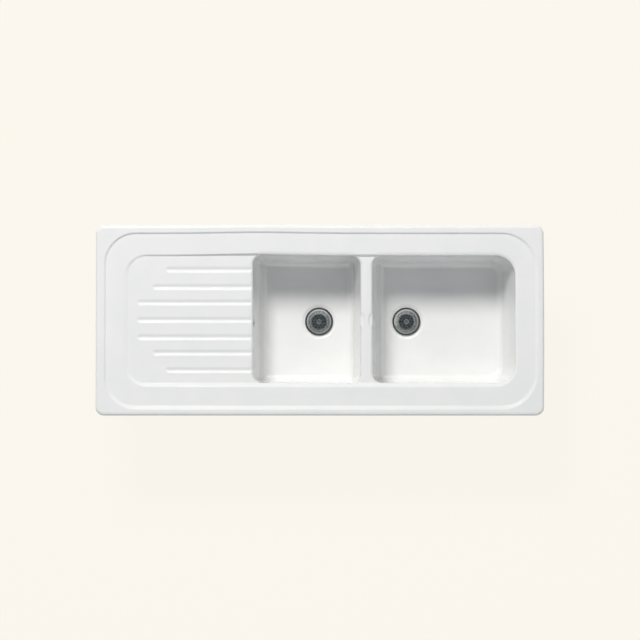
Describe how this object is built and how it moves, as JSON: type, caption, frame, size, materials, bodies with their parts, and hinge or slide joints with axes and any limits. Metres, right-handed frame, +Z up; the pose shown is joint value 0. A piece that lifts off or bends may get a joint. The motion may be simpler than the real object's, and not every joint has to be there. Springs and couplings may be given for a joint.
{
  "type": "kitchen sink with drainboard",
  "caption": "Inset kitchen sink in white glazed fireclay, with a grooved drainboard, a small and a large bowl, overflow openings and lift-out basket wastes.",
  "frame": {"origin": "middle of the rim's outline, at the height of the worktop that carries the rim", "axes": "+X along the sink to the right, away from the drainboard; +Y to the back; +Z up"},
  "size_m": [1.16, 0.495, 0.3392],
  "materials": {
    "glazed_fireclay": "glossy white glaze",
    "chrome_plated_brass": "polished",
    "stainless_steel": "satin",
    "black_rubber": "matt",
    "white_polypropylene": "moulded"
  },
  "bodies": {
    "sink": {"drainboard": "glazed_fireclay", "bowl_surround": "glazed_fireclay", "left_bowl": "glazed_fireclay", "right_bowl": "glazed_fireclay", "rim_seal": "black_rubber", "left_flange_gasket": "black_rubber", "left_strainer_cup": "chrome_plated_brass", "left_clamp_screw": "stainless_steel", "left_lower_gasket": "black_rubber", "left_lower_body": "white_polypropylene", "left_outlet_washer": "black_rubber", "left_tailpiece": "white_polypropylene", "left_union_nut": "white_polypropylene", "right_flange_gasket": "black_rubber", "right_strainer_cup": "chrome_plated_brass", "right_clamp_screw": "stainless_steel", "right_lower_gasket": "black_rubber", "right_lower_body": "white_polypropylene", "right_outlet_washer": "black_rubber", "right_tailpiece": "white_polypropylene", "right_union_nut": "white_polypropylene"},
    "left_basket_unit": {"left_basket": "stainless_steel", "left_basket_post": "chrome_plated_brass", "left_basket_stopper": "black_rubber"},
    "right_basket_unit": {"right_basket": "stainless_steel", "right_basket_post": "chrome_plated_brass", "right_basket_stopper": "black_rubber"}
  },
  "joints": [
    {"name": "left_basket_lift", "type": "slide", "parent": "sink", "child": "left_basket_unit", "axis": [0, 0, 1], "range_m": [0, 0.24]},
    {"name": "right_basket_lift", "type": "slide", "parent": "sink", "child": "right_basket_unit", "axis": [0, 0, 1], "range_m": [0, 0.24]}
  ]
}
